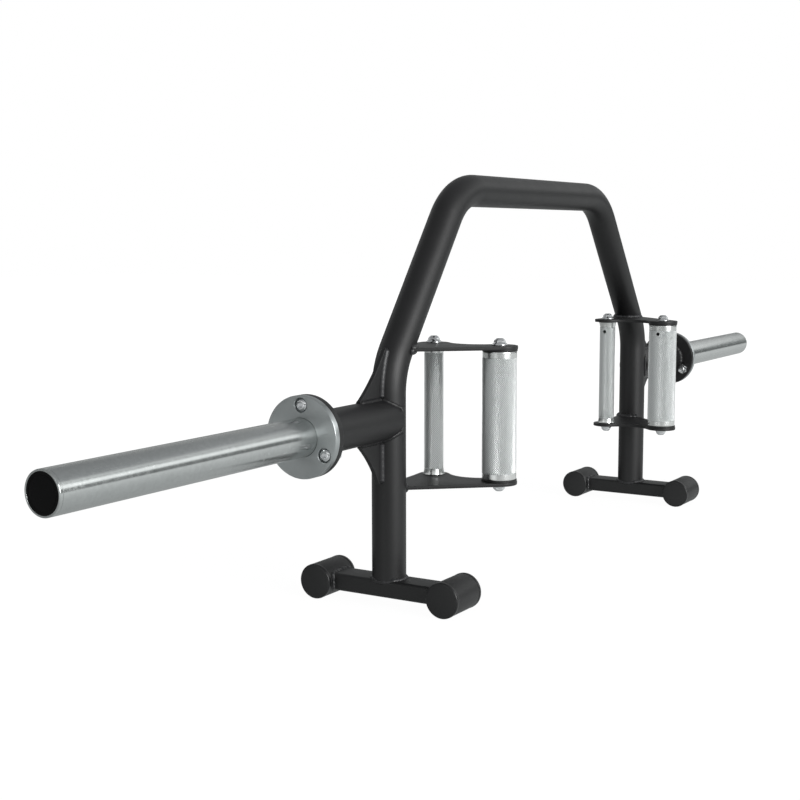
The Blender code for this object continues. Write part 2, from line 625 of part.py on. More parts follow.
add_frame_tube()
leg_round = add_cutter("leg_round", tube_along("leg_round", frame_path(), TUBE_RADIUS + GAP))
for side_name, side in SIDES.items():
    add_foot(side_name, side)
    add_stub(side_name, side, leg_round)
    add_gussets(side_name, side, leg_round)
    add_flanges(side_name, side)
    add_sleeve(side_name, side)
    add_grip_plates(side_name, side, leg_round)
    add_grips(side_name, side)
bpy.context.view_layer.update()
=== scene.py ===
"""Looks of the open-ended trap bar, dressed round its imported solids, in metres with +Z up."""
from math import acos, atan2, ceil, cos, pi, radians, sin, sqrt, tan

import bmesh
import bpy
from mathutils import Euler, Matrix, Vector


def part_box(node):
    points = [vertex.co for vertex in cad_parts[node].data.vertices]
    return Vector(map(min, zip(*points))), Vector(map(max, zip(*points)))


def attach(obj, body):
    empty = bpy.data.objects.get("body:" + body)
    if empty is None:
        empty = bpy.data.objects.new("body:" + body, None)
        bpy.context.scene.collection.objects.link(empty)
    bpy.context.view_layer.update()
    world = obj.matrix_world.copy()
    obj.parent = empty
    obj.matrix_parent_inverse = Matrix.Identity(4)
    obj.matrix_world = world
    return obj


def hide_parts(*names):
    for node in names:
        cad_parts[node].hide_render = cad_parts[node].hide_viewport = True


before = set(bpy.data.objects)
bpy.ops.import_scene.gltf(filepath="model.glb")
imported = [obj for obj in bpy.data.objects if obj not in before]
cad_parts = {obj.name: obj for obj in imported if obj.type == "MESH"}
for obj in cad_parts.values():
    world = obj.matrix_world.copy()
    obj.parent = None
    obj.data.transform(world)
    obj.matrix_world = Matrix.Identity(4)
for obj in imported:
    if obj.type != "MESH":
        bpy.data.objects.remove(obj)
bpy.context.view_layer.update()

# Camera: the photograph's viewpoint, to the front and left of the bar and a little above its sleeves.
# The lens is long and isn't shifted, so the bar stays in the middle of any other view.
camera_place = Vector((-2.05334, -0.99450, 0.51604))
camera_turn, camera_tilt, camera_roll = radians(31.388), radians(-6.848), radians(-0.132)
focal_pixels, picture_pixels = 1368.41, 800
sensor_width, sight_limit = 36, 50


def in_scene(name, data):
    """A new object, linked into the scene."""
    thing = bpy.data.objects.new(name, data)
    bpy.context.scene.collection.objects.link(thing)
    return thing


looking = Vector((cos(camera_turn) * cos(camera_tilt), sin(camera_turn) * cos(camera_tilt), sin(camera_tilt)))
level_right = Vector((sin(camera_turn), -cos(camera_turn), 0))
level_up = level_right.cross(looking)
picture_right = level_right * cos(camera_roll) + level_up * sin(camera_roll)
picture_up = level_up * cos(camera_roll) - level_right * sin(camera_roll)
camera = in_scene("camera", bpy.data.cameras.new("camera"))
camera.matrix_world = Matrix((picture_right, picture_up, -looking)).transposed().to_4x4()
camera.location = camera_place
camera.data.sensor_width = sensor_width
camera.data.lens = focal_pixels * sensor_width / picture_pixels
camera.data.clip_end = sight_limit
bpy.context.scene.camera = camera
bpy.context.scene.view_settings.view_transform = "Standard"


# Studio: a pale floor that runs into a white surround, one soft box overhead and a broad one before the bar.
# The surround is white to the camera and graded for reflections, dark at the horizon under two bright bands.
front_way, front_gain, even_light = (0.47, -0.88, 0), 0.28, 0.74
left_way, left_limit, left_gain = (-0.985, 0.17, 0), 0.88, 7
back_way, back_limit, low_top, low_gain, high_from, high_loss = (0.88, 0.47, 0), 0.72, 0.10, 11, 0.12, 1.2
surround_stops = [
    (0.0, (0.64, 0.66, 0.66)), (1.0, (0.50, 0.51, 0.52)), (0.17, (0.66, 0.68, 0.68)),
    (0.28, (0.70, 0.72, 0.72)), (0.39, (0.80, 0.82, 0.82)), (0.445, (0.87, 0.89, 0.89)),
    (0.478, (0.86, 0.88, 0.88)), (0.492, (0.16, 0.17, 0.17)), (0.586, (0.14, 0.15, 0.15)),
    (0.604, (1.00, 1.02, 1.02)), (0.640, (1.45, 1.47, 1.47)), (0.690, (1.35, 1.37, 1.37)),
    (0.712, (0.46, 0.47, 0.47)), (0.734, (0.46, 0.47, 0.47)), (0.750, (1.06, 1.08, 1.08)),
    (0.774, (1.02, 1.04, 1.04)), (0.792, (0.46, 0.47, 0.48)), (0.86, (0.45, 0.46, 0.47))]
floor_reach, floor_drop, floor_shade = 12.0, 0.0004, 0.44
floor_light, floor_glow, shadow_reach = 1.08, 0.90, 1.9
lit_middle = Vector((0, 0, 0.3))


def worked(operation, reflected=False):
    """An operator that adds the Math node for a reading and what stands beside it."""
    def operator(reading, other):
        first, second = (other, reading) if reflected else (reading, other)
        return reading.tree.add("Math", {"operation": operation}, {0: first, 1: second})
    return operator


class Reading:
    """What a shader socket gives, for use in sums."""

    def __init__(self, tree, socket):
        self.tree, self.socket = tree, socket

    __add__ = __radd__ = worked("ADD")
    __mul__ = __rmul__ = worked("MULTIPLY")
    __sub__, __rsub__ = worked("SUBTRACT"), worked("SUBTRACT", reflected=True)
    __truediv__, __rtruediv__ = worked("DIVIDE"), worked("DIVIDE", reflected=True)
    __pow__, __rpow__ = worked("POWER"), worked("POWER", reflected=True)
    __gt__, __lt__ = worked("GREATER_THAN"), worked("LESS_THAN")


class ShaderTree:
    """The nodes of one finish, of the studio's floor or of its surroundings."""

    def __init__(self, owner):
        owner.use_nodes = True
        self.owner, self.nodes, self.links = owner, owner.node_tree.nodes, owner.node_tree.links

    def add(self, kind, settings=None, inputs=None, output=0):
        """One node with its settings, then the values or links of its sockets."""
        node = self.nodes.new("ShaderNode" + kind)
        for setting, value in (settings or {}).items():
            if setting == "stops":
                ramp = node.color_ramp.elements
                for stop, (position, colour) in enumerate(value):
                    element = ramp[stop] if stop < 2 else ramp.new(position)
                    element.position, element.color = position, (*colour, 1)
            else:
                setattr(node, setting, value)
        self.fill(node, inputs or {})
        return Reading(self, node.outputs[output]) if len(node.outputs) else node

    def fill(self, node, inputs):
        for name, value in inputs.items():
            if isinstance(value, Reading):
                self.links.new(value.socket, node.inputs[name])
            else:
                node.inputs[name].default_value = value


def mesh_of(name, work):
    """The mesh of a finished bmesh."""
    mesh = bpy.data.meshes.new(name)
    work.to_mesh(mesh)
    work.free()
    return mesh


world = bpy.data.worlds.new("studio")
bpy.context.scene.world = world
surround = ShaderTree(world)
surround.nodes.clear()
heading = surround.add("TexCoord", output="Generated")
height = surround.add("SeparateXYZ", inputs={0: heading}, output="Z")
graded = surround.add("ValToRGB", {"stops": surround_stops}, {0: height * 0.5 + 0.5})


def facing(way):
    """How far a ray heads a level way, from -1 to 1."""
    return surround.add("VectorMath", {"operation": "DOT_PRODUCT"}, {0: heading, 1: way}, "Value")


def facing_past(limit, way):
    """How far past a limit a ray heads that way."""
    return surround.add("Math", {"operation": "MAXIMUM"}, {0: facing(way) - limit, 1: 0.0})


low_glow = (height > 0.0) * (height < low_top) * low_gain - (height > high_from) * high_loss
brightness = (facing(front_way) * front_gain + facing_past(back_limit, back_way) * low_glow
              + facing_past(left_limit, left_way) * left_gain + even_light)
seen_by_camera = surround.add("LightPath", output="Is Camera Ray")
white = surround.add("Background", inputs={"Color": (1, 1, 1, 1), "Strength": 1.0})
lit = surround.add("Background", inputs={"Color": graded, "Strength": brightness})
surround.add("OutputWorld", inputs={
    "Surface": surround.add("MixShader", inputs={0: seen_by_camera, 1: lit, 2: white})})

sheet = bmesh.new()
bmesh.ops.create_grid(sheet, x_segments=2, y_segments=2, size=floor_reach)
floor = in_scene("studio_floor", mesh_of("studio_floor", sheet))
floor.location.z = -floor_drop
floor.visible_glossy = False
floor_paint = ShaderTree(bpy.data.materials.new("studio_floor"))
floor_paint.nodes.clear()
on_floor = floor_paint.add("TexCoord", output="Object")
from_middle = floor_paint.add("VectorMath", {"operation": "LENGTH"}, {0: on_floor}, "Value")
whitened = floor_paint.add("Math", {"operation": "MINIMUM"}, {
    0: floor_glow + (from_middle / shadow_reach) ** 3 * (1 - floor_glow), 1: 1.0})
camera_ray = floor_paint.add("LightPath", output="Is Camera Ray")
painted = floor_paint.add("BsdfDiffuse", inputs={"Color": (floor_shade, floor_shade, floor_shade, 1)})
glowing = floor_paint.add("Emission", inputs={"Color": (1, 1, 1, 1), "Strength": floor_light})
floor_paint.add("OutputMaterial", inputs={
    "Surface": floor_paint.add("MixShader", inputs={0: camera_ray * whitened, 1: painted, 2: glowing})})
floor.data.materials.append(floor_paint.owner)


def soft_box(name, place, size, watts, mirrored=True):
    """A square soft light, turned towards the bar; one that isn't mirrored leaves no highlight."""
    lamp = bpy.data.lights.new(name, "AREA")
    lamp.shape, lamp.size, lamp.energy = "SQUARE", size, watts
    box = in_scene(name, lamp)
    box.location, box.visible_glossy = place, mirrored
    box.rotation_euler = (lit_middle - Vector(place)).to_track_quat("-Z", "Y").to_euler()


soft_box("overhead_box", place=(0.3, -0.6, 3.2), size=2.6, watts=18, mirrored=False)
soft_box("front_box", place=(-1.15, -4.4, 1.7), size=2.8, watts=185)


# Frame tube: one length of steel tube bent four times, powder coated in satin black.
# It is bent on one die, so all four bends share a radius.
tube_radius, tube_wall = 0.02415, 0.004
leg_x, shoulder_z, top_corner_x, top_z, bend_radius = 0.450, 0.331, 0.259, 0.583, 0.103
bend_step, tube_facets = radians(2), 72
low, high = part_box("frame_tube")
bar_y, leg_foot_z = (low.y + high.y) / 2, low.z
smooth_below = radians(30)


class Finish(ShaderTree):
    """A surface finish on the bar, with the constants of its shader."""

    def __init__(self, name, **constants):
        super().__init__(bpy.data.materials.new(name))
        self.shader = self.nodes["Principled BSDF"]
        for socket, value in constants.items():
            self.shader.inputs[socket.replace("_", " ")].default_value = value
        self.place = self.add("TexCoord", output="Object")

    def noise(self, scale, detail=2.0, place=None):
        return self.add("TexNoise", inputs={"Vector": place or self.place, "Scale": scale, "Detail": detail})

    def blend(self, share, first, second):
        return self.add("Mix", {"data_type": "RGBA"}, {0: share, 6: first, 7: second}, output=2)

    def finished(self, colour, roughness, relief, strength, depth):
        """The material, with what changes over its surface fed to its shader."""
        bump = self.add("Bump", inputs={"Height": relief, "Strength": strength, "Distance": depth})
        self.fill(self.shader, {"Base Color": colour, "Roughness": roughness, "Normal": bump})
        return self.owner


def powder_coat(name, roughness, low, high):
    """Satin black powder: fine orange peel, slightly uneven gloss."""
    coat = Finish(name)
    patches, peel, grain = coat.noise(38, 3.0), coat.noise(620), coat.noise(2600, 1.0)
    return coat.finished(
        coat.blend(patches, (low, low, low * 1.09, 1), (high, high, high * 1.08, 1)),
        patches * 0.10 + peel * 0.06 + (roughness - 0.08), peel + grain * 0.45, strength=0.22, depth=0.00016)


black_coat = powder_coat("black_powder_coat", 0.48, 0.0042, 0.0064)


def around(count):
    """Angles at even steps round a circle."""
    return [2 * pi * step / count for step in range(count)]


def lofted(name, rings, endless=False):
    """A closed skin over rings of points, capped at its ends or joined end to end."""
    work = bmesh.new()
    rows = [[work.verts.new(point) for point in ring] for ring in rings]
    count = len(rows[0])
    pairs = list(zip(rows, rows[1:])) + ([(rows[-1], rows[0])] if endless else [])
    for row, following in pairs:
        for step in range(count):
            after = (step + 1) % count
            work.faces.new((row[step], row[after], following[after], following[step]))
    if not endless:
        work.faces.new(rows[0])
        work.faces.new(rows[-1])
    bmesh.ops.recalc_face_normals(work, faces=work.faces)
    mesh = mesh_of(name, work)
    mesh.shade_smooth()
    mesh.set_sharp_from_angle(angle=smooth_below)
    return mesh


def set_out(name, mesh, paint, nodes=(), place=(0, 0, 0), turn=(0, 0, 0)):
    """A piece of the bar in its place, painted, riding on the bar and standing for its solids."""
    piece = in_scene(name, mesh)
    piece.location, piece.rotation_euler = place, turn
    if not mesh.materials:
        mesh.materials.append(paint)
    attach(piece, "root")
    if nodes:
        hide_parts(*nodes)


def coated(name, mesh, nodes=(), place=(0, 0, 0), turn=(0, 0, 0)):
    """A piece in the frame's own powder coat."""
    set_out(name, mesh, black_coat, nodes, place, turn)


def bent_path(corners, radius):
    """A path through straight runs whose corners are arcs."""
    path = [corners[0]]
    for before, corner, after in zip(corners, corners[1:], corners[2:]):
        arriving, leaving = (corner - before).normalized(), (after - corner).normalized()
        swing = acos(arriving.dot(leaving))
        inward = (leaving - arriving * arriving.dot(leaving)).normalized()
        centre = corner - arriving * radius * tan(swing / 2) + inward * radius
        steps = ceil(swing / bend_step)
        for step in range(steps + 1):
            angle = swing * step / steps
            path.append(centre + (arriving * sin(angle) - inward * cos(angle)) * radius)
    return path + [corners[-1]]


half_frame = [(leg_x, leg_foot_z), (leg_x, shoulder_z), (top_corner_x, top_z)]
frame_line = bent_path([Vector((-x, bar_y, z)) for x, z in half_frame]
                       + [Vector((x, bar_y, z)) for x, z in reversed(half_frame)], bend_radius)


def tube_rings(path, radius):
    """Circles square to a path that lies in the bar's own plane."""
    rings = []
    for number, centre in enumerate(path):
        before, after = path[max(number - 1, 0)], path[min(number + 1, len(path) - 1)]
        across_path = (after - before).normalized().cross(Vector((0, 1, 0)))
        rings.append([centre + radius * (cos(angle) * across_path + sin(angle) * Vector((0, 1, 0)))
                      for angle in around(tube_facets)])
    return rings


outside = tube_rings(frame_line, tube_radius)
inside = tube_rings(frame_line, tube_radius - tube_wall)
coated("bent_frame_tube", lofted("bent_frame_tube", outside + inside[::-1], endless=True), ["frame_tube"])


# Foot crossbars: rectangular steel tube lying under each leg, notched at both ends round the foot tubes.
# They are welded to the legs and to the foot tubes, and coated with the frame.
crossbar_width, crossbar_height, crossbar_wall, crossbar_round = 0.044, 0.025, 0.003, 0.005
foot_y, foot_radius, fit, notch_reach = 0.104, 0.0249, 0.0003, 0.04
foot_z = leg_foot_z - fit - crossbar_height / 2
sides, ends = {"left": -1, "right": 1}, {"front": -1, "rear": 1}


def box_outline(width, height, corner, steps=6):
    """Outline of a rectangle with round corners."""
    outline = []
    for quarter, (x, y) in enumerate(((1, 1), (-1, 1), (-1, -1), (1, -1))):
        for step in range(steps + 1):
            angle = pi / 2 * (quarter + step / steps)
            outline.append(Vector((x * (width / 2 - corner) + corner * cos(angle),
                                   y * (height / 2 - corner) + corner * sin(angle))))
    return outline


def turned(name, profile, hollow=False, facets=96):
    """A round piece turned about Z from its (radius, height) profile; a hollow one has no flat ends."""
    circle = [(cos(angle), sin(angle)) for angle in around(facets)]
    return lofted(name, [[(radius * x, radius * y, height) for x, y in circle]
                         for radius, height in profile], endless=hollow)


def placed(mesh, place, turn=(0, 0, 0)):
    """A copy of the mesh, moved to where it cuts or joins."""
    copied = mesh.copy()
    copied.transform(Matrix.Translation(place) @ Euler(turn).to_matrix().to_4x4())
    return copied


def carved(blank, *tools, operation="DIFFERENCE"):
    """The blank with the tools' shapes cut away from it, joined to it or shared with it."""
    bench = [in_scene("blank", blank)]
    for tool in tools:
        cutter = in_scene("tool", tool)
        cut = bench[0].modifiers.new("cut", "BOOLEAN")
        cut.operation, cut.solver, cut.object = operation, "EXACT", cutter
        bench.append(cutter)
    bpy.context.view_layer.update()
    worked = bench[0].evaluated_get(bpy.context.evaluated_depsgraph_get())
    mesh = bpy.data.meshes.new_from_object(worked)
    mesh.name = blank.name
    for piece in bench:
        bpy.data.objects.remove(piece)
    mesh.set_sharp_from_angle(angle=smooth_below)
    return mesh


outer_outline = box_outline(crossbar_width, crossbar_height, crossbar_round)
inner_outline = box_outline(crossbar_width - 2 * crossbar_wall, crossbar_height - 2 * crossbar_wall,
                            crossbar_round - crossbar_wall)
rail_rings = [[(x, end * foot_y, z) for x, z in outline] for outline, end in (
    (outer_outline, -1), (outer_outline, 1), (inner_outline, 1), (inner_outline, -1))]
foot_cutter = turned("foot_cutter", [(foot_radius + fit / 2, end * notch_reach) for end in (-1, 1)])
crossbar_mesh = carved(
    lofted("foot_crossbar", rail_rings, endless=True),
    *(placed(foot_cutter, (0, end * foot_y, 0), (0, pi / 2, 0)) for end in (-1, 1)))
for side_name, side in sides.items():
    coated(f"notched_crossbar_{side_name}", crossbar_mesh, [f"foot_crossbar_{side_name}"],
           (side * leg_x, bar_y, foot_z))


# Feet: a short round tube in front of and behind each leg, coated with the frame.
# Each end is closed by a moulded plastic cap with a rounded edge, whose ribbed insert grips the bore.
foot_length, foot_wall, cap_thickness, cap_round, cap_insert = 0.070, 0.003, 0.006, 0.0034, 0.012
easing_steps, floor_clearance, cap_middle = 4, 0.00002, 0.004


def eased(*corners):
    """A profile through (radius, height, rounding) corners, each rounded off as far as it says."""
    points = [Vector(corner[:2]) for corner in corners]
    profile = []
    for number, corner in enumerate(points):
        before, after = points[number - 1] - corner, points[(number + 1) % len(points)] - corner
        reach = min(corners[number][2], 0.45 * before.length, 0.45 * after.length)
        start, end = corner + before.normalized() * reach, corner + after.normalized() * reach
        for step in range(easing_steps + 1 if reach else 1):
            share = step / easing_steps
            profile.append(start * (1 - share) ** 2 + corner * 2 * share * (1 - share) + end * share ** 2)
    return profile


def moulded_plastic(name, roughness, shine=0.46, low=0.0060, high=0.0090):
    """Black plastic with the fine even grain of its mould."""
    plastic = Finish(name, Specular_IOR_Level=shine)
    cloud, grain = plastic.noise(55), plastic.noise(1500)
    return plastic.finished(
        plastic.blend(cloud, (low, low, low * 1.08, 1), (high, high, high * 1.08, 1)),
        cloud * 0.08 + grain * 0.06 + (roughness - 0.07), grain, strength=0.16, depth=0.00012)


black_plastic = moulded_plastic("black_plastic", 0.36)
tube_end = foot_length / 2 - cap_thickness - fit
foot_tube_mesh = turned("foot_tube", eased(
    (foot_radius, -tube_end, 0.0006), (foot_radius, tube_end, 0.0006),
    (foot_radius - foot_wall, tube_end, 0), (foot_radius - foot_wall, -tube_end, 0)), hollow=True)
cap_radius, insert_radius = foot_z - floor_clearance, foot_radius - foot_wall - fit
foot_cap_mesh = turned("foot_cap", eased(
    (cap_middle, cap_thickness, 0), (cap_radius, cap_thickness, cap_round), (cap_radius, 0, 0.0005),
    (insert_radius, 0, 0), (insert_radius, -cap_insert, 0.001), (cap_middle, -cap_insert, 0)))
for side_name, side in sides.items():
    for end_name, end in ends.items():
        where, middle = f"{side_name}_{end_name}", Vector((side * leg_x, bar_y + end * foot_y, foot_z))
        coated(f"round_foot_{where}", foot_tube_mesh, [f"foot_tube_{where}"], middle, (0, pi / 2, 0))
        for face_name, face in (("outer", side), ("inner", -side)):
            set_out(f"moulded_foot_cap_{where}_{face_name}", foot_cap_mesh, black_plastic,
                    [f"foot_cap_{where}_{face_name}"],
                    middle + Vector((face * (tube_end + fit), 0, 0)), (0, face * pi / 2, 0))


# Stubs: thick steel tube from each leg out to its flange, the inner end cut to wrap round the leg.
# Each is welded to the leg all round and to the flange at its outer end.
sleeve_z, stub_radius, stub_wall, stub_start, stub_end = 0.2635, 0.02885, 0.004, 0.0055, 0.6505
leg_cutter = lofted("leg_cutter", outside)
for side_name, side in sides.items():
    length = stub_end - leg_x - stub_start
    blank = placed(turned("stub", [
        (stub_radius, 0), (stub_radius, length),
        (stub_radius - stub_wall, length), (stub_radius - stub_wall, 0)], hollow=True),
        (side * (leg_x + stub_start), bar_y, sleeve_z), (0, side * pi / 2, 0))
    coated(f"saddled_stub_{side_name}", carved(blank, leg_cutter), [f"stub_tube_{side_name}"])


# Gussets: webs cut from flat bar that brace each stub against its leg from above and below.
# Their outer edges are slightly hollow, and they are welded along both faces.
gusset_thickness, gusset_reach, gusset_toe, gusset_tip, gusset_hollow = 0.006, 0.052, 0.003, 0.006, 0.004
gusset_heights, hollow_steps = {"upper": (1, 0.070), "lower": (-1, 0.060)}, 24
edge_softening = 0.0007


def cut_plate(name, plan, thickness, side):
    """A plate lying in X and Y, cut to a side's plan, with the soft edges that the coat leaves."""
    outline = [Vector((side * point.x, point.y)) for point in plan]
    turning = sum(a.x * b.y - b.x * a.y for a, b in zip(outline, outline[1:] + outline[:1]))
    corners = outline if turning > 0 else outline[::-1]
    normals = []
    for before, after in zip(corners[-1:] + corners, corners[1:] + corners[:1]):
        along = (after - before).normalized()
        normals.append(Vector((along.y, -along.x)))
    rings = []
    for face in (-1, 1):
        for step in range(easing_steps + 1):
            angle = pi / 2 * (step if face < 0 else easing_steps - step) / easing_steps
            inset, drop = edge_softening * (1 - sin(angle)), edge_softening * (1 - cos(angle))
            rings.append([(*(corner - normal * inset), face * (thickness / 2 - drop))
                          for corner, normal in zip(corners, normals)])
    return lofted(name, rings)


def leg_at(height):
    """Distance of the leg's centreline from the middle at a height, and the tube's lean there."""
    for low, high in zip(frame_line, frame_line[1:]):
        if low.z <= height <= high.z:
            share = (height - low.z) / (high.z - low.z)
            return -low.lerp(high, share).x, atan2(high.x - low.x, high.z - low.z)


stub_cutter = turned("stub_cutter", [(stub_radius + fit / 2, leg_x), (stub_radius + fit / 2, stub_end)])
for side_name, side in sides.items():
    stub_in_place = placed(stub_cutter, (0, bar_y, sleeve_z), (0, side * pi / 2, 0))
    for level, (vertical, height) in gusset_heights.items():
        tip_z = sleeve_z + vertical * (stub_radius + height)
        centre, lean = leg_at(tip_z)
        toe = Vector((leg_x + tube_radius + gusset_reach, sleeve_z + vertical * (stub_radius + gusset_toe)))
        tip = Vector((centre + tube_radius / cos(lean) + gusset_tip, tip_z))
        chord = tip - toe
        inward = Vector((-chord.y, chord.x)).normalized() * vertical
        outline = [Vector((leg_x, sleeve_z)), Vector((toe.x, sleeve_z))]
        for step in range(hollow_steps + 1):
            share = step / hollow_steps
            outline.append(toe + chord * share + inward * gusset_hollow * 4 * share * (1 - share))
        outline.append(Vector((centre, tip_z)))
        web = placed(cut_plate("gusset", outline, gusset_thickness, side), (0, bar_y, 0), (pi / 2, 0, 0))
        coated(f"gusset_web_{side_name}_{level}", carved(web, leg_cutter, stub_in_place),
               [f"gusset_{side_name}_{level}"])


# Grip plates: two to a leg, cut from flat plate with a lobe under each grip and a hollow waist between them.
# Each is welded round the leg, and carries a raised seat on which the thick grip stands.
grip_x, thick_offset, grip_mid_z, plate_spacing = 0.324, 0.108, 0.26125, 0.1895
plate_thickness, thick_lobe, thin_lobe, waist_radius = 0.005, 0.026, 0.0235, 0.0467
root_fillet, edge_angle = 0.400, radians(40.5)
seat_radius, seat_height, seat_middle, arc_step = 0.0255, 0.0027, 0.003, radians(3)
plate_faces = {"upper": (1, grip_mid_z + plate_spacing / 2), "lower": (-1, grip_mid_z - plate_spacing / 2)}
thick_y = bar_y - thick_offset


def arc(centre, radius, start, end):
    """Points along an arc, from one angle to another."""
    steps = max(2, ceil(abs(end - start) / arc_step))
    angles = [start + (end - start) * step / steps for step in range(steps + 1)]
    return [centre + radius * Vector((cos(angle), sin(angle))) for angle in angles]


def touching(span, near, far):
    """Where a circle that touches two others stands, along the line between them and off it."""
    along = (span ** 2 + near ** 2 - far ** 2) / (2 * span)
    return along, sqrt(near ** 2 - along ** 2)


def plate_plan(root_x):
    """Plan of a plate about the leg at root_x, and the angles at which its edges leave the leg."""
    thin, thick = Vector((grip_x, 0)), Vector((grip_x, -thick_offset))
    forward, beside = touching(thick_offset, waist_radius + thin_lobe, waist_radius + thick_lobe)
    waist = thin - Vector((beside, forward))
    fillet = thin + Vector(touching(root_x - grip_x, root_fillet + thin_lobe, root_fillet + tube_radius))
    waist_from_thick = atan2(waist.y - thick.y, waist.x - thick.x)
    waist_from_thin = atan2(waist.y - thin.y, waist.x - thin.x)
    from_thin, from_leg = atan2(fillet.y, fillet.x - grip_x), atan2(fillet.y, fillet.x - root_x)
    start = thick + thick_lobe * Vector((cos(edge_angle), -sin(edge_angle)))
    outline = [Vector((root_x, 0)), Vector((root_x, start.y + (root_x - start.x) / tan(edge_angle)))]
    outline += arc(thick, thick_lobe, -edge_angle, waist_from_thick - 2 * pi)
    outline += arc(waist, waist_radius, waist_from_thick - pi, waist_from_thin + pi)[1:-1]
    outline += arc(thin, thin_lobe, waist_from_thin, from_thin - 2 * pi)
    outline += arc(fillet, root_fillet, from_thin - pi, from_leg - pi)[1:]
    along_edge = Vector((sin(edge_angle), cos(edge_angle)))
    off_edge = Vector((cos(edge_angle), -sin(edge_angle)))
    past_leg = (start - Vector((root_x, 0))).dot(off_edge)
    meeting = past_leg * off_edge - sqrt(tube_radius ** 2 - past_leg ** 2) * along_edge
    return outline, atan2(meeting.y, -meeting.x), pi - from_leg


seat_mesh = turned("grip_seat", eased(
    (seat_middle, 0, 0), (seat_radius, 0, 0.0005), (seat_radius, seat_height, 0.0005),
    (seat_middle, seat_height, 0)))
for side_name, side in sides.items():
    for level, (vertical, face_z) in plate_faces.items():
        middle_z = face_z + vertical * plate_thickness / 2
        plan = plate_plan(leg_at(middle_z)[0])[0]
        blank = placed(cut_plate("grip_plate", plan, plate_thickness, side), (0, bar_y, middle_z))
        coated(f"lobed_plate_{side_name}_{level}", carved(blank, leg_cutter),
               [f"grip_plate_{side_name}_{level}"])
        coated(f"thick_grip_seat_{side_name}_{level}", seat_mesh, (),
               (side * grip_x, thick_y, face_z - seat_height * (vertical > 0)))


# Frame flanges: steel discs welded on the stub ends, coated with the frame.
# Three holes near the rim take the screws that hold the sleeve's own flange.
flange_radius, flange_thickness, flange_edge, joint_x, face_x = 0.0535, 0.009, 0.001, 0.651, 0.660
bolt_circle, bolt_radius, hole_clearance, drill_reach = 0.041, 0.005, 0.0005, 0.02
screw_places = [(bolt_circle * cos(angle), bolt_circle * sin(angle)) for angle in around(3)]
facing_out = {"left": (0, -pi / 2, 0), "right": (0, -pi / 2, pi)}


def flange_disc(name, bore, inner_edge, outer_edge):
    """A flat ring with broken edges; its outer face is up, and X is the way up on the bar."""
    return turned(name, eased(
        (bore, 0, 0), (flange_radius, 0, inner_edge), (flange_radius, flange_thickness, outer_edge),
        (bore, flange_thickness, 0.0004)), hollow=True, facets=144)


def drills(profile, facets=48):
    """A cutter of the given profile at each of a flange's three screws."""
    drill = turned("drill", profile, facets=facets)
    return [placed(drill, (x, y, 0)) for x, y in screw_places]


hole_radius = bolt_radius + hole_clearance
back_x = joint_x - fit - flange_thickness
frame_disc = carved(flange_disc("frame_flange", stub_radius + fit / 2, flange_edge, 0.0006),
                    *drills([(hole_radius, -drill_reach), (hole_radius, drill_reach)]))


def facing_outward(x, *pieces):
    """Pieces on the sleeves' line at both ends of the bar: each one's name, mesh, finish, slot and node; the
    slot is not used.
    """
    for side_name, side in sides.items():
        for name, mesh, paint, slot, node in pieces:
            set_out(f"{name}_{side_name}", mesh, paint, [f"{node}_{side_name}"] if node else (),
                    (side * x, bar_y, sleeve_z), facing_out[side_name])


facing_outward(back_x, ("welded_flange", frame_disc, black_coat, "black_powder_coat", "frame_flange"))


# Weld beads: fillet welds laid by hand, each ripple a frozen puddle, coated with the rest of the frame; the
# beads on the legs, feet and plates, and those of the gussets against the legs, take a lighter copy of the
# coat that is a painted highlight.
# A bead runs along a seam and faces out of the corner between the two pieces that it joins.
ripple_length, ripple_rings, ripple_depth, ripple_bow, ripple_snap = 0.0032, 7, 0.07, 0.42, 1.4
bead_sides, bead_flatness, bead_start = 14, 0.8, 0.45
slow_wander, slow_pace, fast_wander, fast_pace = 0.10, 410, 0.07, 973
saddle_half, beside_leg, seam_inset = 0.0235, 0.0246, 0.0003
leg_bead_margin, stub_bead_margin = 0.002, 0.001
wide_inset, wide_drop, wide_turn = 0.30, 0.35, 150
# A lighter copy of the black coat: its colour is a painted highlight, standing for the light that these beads
# catch.
painted_highlight_weld_coat = powder_coat("black_powder_coat_painted_highlight_on_welds", 0.40, 0.016, 0.024)
weld_looks = {        # each bead's half width, how uneven it is, and its coat
    "stub": (0.0030, 0.5, black_coat), "flange": (0.0052, 0.6, black_coat), "leg": (0.0032, 1.0, painted_highlight_weld_coat),
    "foot": (0.0034, 1.0, painted_highlight_weld_coat), "plate": (0.0052, 1.0, painted_highlight_weld_coat),
    "gusset_leg": (0.0050, 0.2, painted_highlight_weld_coat), "gusset_stub": (0.0040, 0.5, black_coat)}


def resampled(path, spacing, closed):
    """The path as points at even spacing, each with the direction in which it runs."""
    points = path + [path[0]] if closed else path
    lengths = [0.0]
    for start, end in zip(points, points[1:]):
        lengths.append(lengths[-1] + (end[0] - start[0]).length)
    count = max(4, round(lengths[-1] / spacing))
    even, leg = [], 0
    for step in range(count if closed else count + 1):
        distance = lengths[-1] * step / count
        while leg < len(points) - 2 and lengths[leg + 1] < distance:
            leg += 1
        share = (distance - lengths[leg]) / max(lengths[leg + 1] - lengths[leg], 1e-9)
        even.append((points[leg][0].lerp(points[leg + 1][0], share),
                     points[leg][1].lerp(points[leg + 1][1], share).normalized(), distance))
    return even


